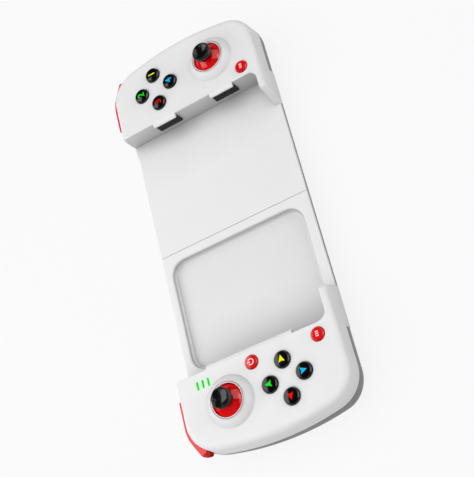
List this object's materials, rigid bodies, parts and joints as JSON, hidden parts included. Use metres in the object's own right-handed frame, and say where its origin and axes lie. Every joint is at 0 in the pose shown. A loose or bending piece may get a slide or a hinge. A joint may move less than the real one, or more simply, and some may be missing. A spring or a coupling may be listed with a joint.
{
  "type": "phone game controller",
  "caption": "White stretch game controller that clamps a phone between two grips on a sprung slide, with tilting sticks, round buttons, red shoulder bumpers and triggers",
  "frame": {"origin": "middle of the underside of the closed controller, on the surface that it lies on", "axes": "+X along the phone towards the face-button grip, +Y towards the shoulder buttons, +Z out of the face"},
  "size_m": [0.2196, 0.0884, 0.036],
  "materials": {
    "white_plastic": "white satin moulding",
    "dark_plastic": "dark grey fine-textured moulding",
    "trim_ring": "pale polished ring",
    "light_guide": "green lit light guide",
    "pad_rubber": "black knurled rubber",
    "silicone": "translucent silicone",
    "circuit_board": "green solder mask",
    "battery_foil": "foil pouch",
    "steel": "plain steel",
    "flex_film": "dark polyimide film",
    "grey_plastic": "grey low-friction plastic",
    "black_gloss": "black gloss button",
    "red_gloss": "red gloss moulding",
    "cap_rubber": "black soft rubber"
  },
  "bodies": {
    "left_half": {"left_front_shell": "white_plastic", "left_rear_shell": "dark_plastic", "left_stick_ring": "trim_ring", "led_light_bars": "light_guide", "left_clamp_pad": "pad_rubber", "left_main_board": "circuit_board", "battery": "battery_foil", "usb_c_port": "steel", "left_stick_module": "steel", "left_membrane": "silicone", "left_trigger_pin": "steel", "left_screws": "steel", "left_vibration_motor": "steel", "flex_tail": "flex_film"},
    "right_half": {"right_front_shell": "white_plastic", "right_rear_shell": "dark_plastic", "slider_plate": "grey_plastic", "right_stick_ring": "trim_ring", "right_clamp_pads": "pad_rubber", "right_board": "circuit_board", "right_stick_module": "steel", "right_membrane": "silicone", "right_trigger_pin": "steel", "right_screws": "steel", "right_vibration_motor": "steel", "slide_springs": "steel", "flex_ribbon": "flex_film"},
    "dpad_right_body": {"dpad_right": "black_gloss"},
    "dpad_up_body": {"dpad_up": "black_gloss"},
    "dpad_left_body": {"dpad_left": "black_gloss"},
    "dpad_down_body": {"dpad_down": "black_gloss"},
    "home_button_body": {"home_button": "red_gloss"},
    "left_function_button_body": {"left_function_button": "red_gloss"},
    "face_button_right_body": {"face_button_right": "black_gloss"},
    "face_button_top_body": {"face_button_top": "black_gloss"},
    "face_button_left_body": {"face_button_left": "black_gloss"},
    "face_button_bottom_body": {"face_button_bottom": "black_gloss"},
    "right_function_button_body": {"right_function_button": "red_gloss"},
    "l1_bumper_body": {"l1_bumper": "red_gloss"},
    "l2_trigger_body": {"l2_trigger": "red_gloss"},
    "r1_bumper_body": {"r1_bumper": "red_gloss"},
    "r2_trigger_body": {"r2_trigger": "red_gloss"},
    "left_stick_yoke_body": {"left_stick_yoke": "steel"},
    "left_stick_rocker_body": {"left_stick_rocker": "grey_plastic"},
    "left_stick_body": {"left_stick_shaft": "steel", "left_stick_dome": "red_gloss", "left_stick_cap": "cap_rubber"},
    "right_stick_yoke_body": {"right_stick_yoke": "steel"},
    "right_stick_rocker_body": {"right_stick_rocker": "grey_plastic"},
    "right_stick_body": {"right_stick_shaft": "steel", "right_stick_dome": "red_gloss", "right_stick_cap": "cap_rubber"}
  },
  "joints": [
    {"name": "stretch_slide", "type": "slide", "parent": "left_half", "child": "right_half", "axis": [1, 0, 0], "range_m": [0, 0.04], "stiffness_N_per_m": 80, "springref_m": -0.04, "deforming": ["slide_springs", "flex_ribbon"]},
    {"name": "dpad_right_press", "type": "slide", "parent": "left_half", "child": "dpad_right_body", "axis": [0, 0, -1], "range_m": [0, 0.001], "stiffness_N_per_m": 300, "springref_m": -0.001},
    {"name": "dpad_up_press", "type": "slide", "parent": "left_half", "child": "dpad_up_body", "axis": [0, 0, -1], "range_m": [0, 0.001], "stiffness_N_per_m": 300, "springref_m": -0.001},
    {"name": "dpad_left_press", "type": "slide", "parent": "left_half", "child": "dpad_left_body", "axis": [0, 0, -1], "range_m": [0, 0.001], "stiffness_N_per_m": 300, "springref_m": -0.001},
    {"name": "dpad_down_press", "type": "slide", "parent": "left_half", "child": "dpad_down_body", "axis": [0, 0, -1], "range_m": [0, 0.001], "stiffness_N_per_m": 300, "springref_m": -0.001},
    {"name": "home_button_press", "type": "slide", "parent": "left_half", "child": "home_button_body", "axis": [0, 0, -1], "range_m": [0, 0.001], "stiffness_N_per_m": 300, "springref_m": -0.001},
    {"name": "left_function_button_press", "type": "slide", "parent": "left_half", "child": "left_function_button_body", "axis": [0, 0, -1], "range_m": [0, 0.001], "stiffness_N_per_m": 300, "springref_m": -0.001},
    {"name": "face_button_right_press", "type": "slide", "parent": "right_half", "child": "face_button_right_body", "axis": [0, 0, -1], "range_m": [0, 0.001], "stiffness_N_per_m": 300, "springref_m": -0.001},
    {"name": "face_button_top_press", "type": "slide", "parent": "right_half", "child": "face_button_top_body", "axis": [0, 0, -1], "range_m": [0, 0.001], "stiffness_N_per_m": 300, "springref_m": -0.001},
    {"name": "face_button_left_press", "type": "slide", "parent": "right_half", "child": "face_button_left_body", "axis": [0, 0, -1], "range_m": [0, 0.001], "stiffness_N_per_m": 300, "springref_m": -0.001},
    {"name": "face_button_bottom_press", "type": "slide", "parent": "right_half", "child": "face_button_bottom_body", "axis": [0, 0, -1], "range_m": [0, 0.001], "stiffness_N_per_m": 300, "springref_m": -0.001},
    {"name": "right_function_button_press", "type": "slide", "parent": "right_half", "child": "right_function_button_body", "axis": [0, 0, -1], "range_m": [0, 0.001], "stiffness_N_per_m": 300, "springref_m": -0.001},
    {"name": "l1_bumper_press", "type": "slide", "parent": "left_half", "child": "l1_bumper_body", "axis": [0, -1, 0], "range_m": [0, 0.0009], "stiffness_N_per_m": 400, "springref_m": -0.0008},
    {"name": "l2_trigger_pull", "type": "hinge", "parent": "left_half", "child": "l2_trigger_body", "pos_m": [-0.0915, 0.034, 0.0122], "axis": [-1, 0, 0], "range_deg": [0, 15], "stiffness_Nm_per_rad": 0.06, "springref_deg": -8.59},
    {"name": "r1_bumper_press", "type": "slide", "parent": "right_half", "child": "r1_bumper_body", "axis": [0, -1, 0], "range_m": [0, 0.0009], "stiffness_N_per_m": 400, "springref_m": -0.0008},
    {"name": "r2_trigger_pull", "type": "hinge", "parent": "right_half", "child": "r2_trigger_body", "pos_m": [0.0915, 0.034, 0.0122], "axis": [-1, 0, 0], "range_deg": [0, 15], "stiffness_Nm_per_rad": 0.06, "springref_deg": -8.59},
    {"name": "left_stick_tilt_y", "type": "hinge", "parent": "left_half", "child": "left_stick_yoke_body", "pos_m": [-0.0875, 0.0146, 0.02078], "axis": [1, 0, 0], "range_deg": [-15, 15], "stiffness_Nm_per_rad": 0.03},
    {"name": "left_stick_tilt_x", "type": "hinge", "parent": "left_stick_yoke_body", "child": "left_stick_rocker_body", "pos_m": [-0.0875, 0.0146, 0.02078], "axis": [0, 1, 0], "range_deg": [-15, 15], "stiffness_Nm_per_rad": 0.03},
    {"name": "left_stick_press", "type": "slide", "parent": "left_stick_rocker_body", "child": "left_stick_body", "axis": [0, 0, -1], "range_m": [0, 0.0005], "stiffness_N_per_m": 1500, "springref_m": -0.0006},
    {"name": "right_stick_tilt_y", "type": "hinge", "parent": "right_half", "child": "right_stick_yoke_body", "pos_m": [0.0875, -0.0195, 0.02078], "axis": [1, 0, 0], "range_deg": [-15, 15], "stiffness_Nm_per_rad": 0.03},
    {"name": "right_stick_tilt_x", "type": "hinge", "parent": "right_stick_yoke_body", "child": "right_stick_rocker_body", "pos_m": [0.0875, -0.0195, 0.02078], "axis": [0, 1, 0], "range_deg": [-15, 15], "stiffness_Nm_per_rad": 0.03},
    {"name": "right_stick_press", "type": "slide", "parent": "right_stick_rocker_body", "child": "right_stick_body", "axis": [0, 0, -1], "range_m": [0, 0.0005], "stiffness_N_per_m": 1500, "springref_m": -0.0006}
  ]
}
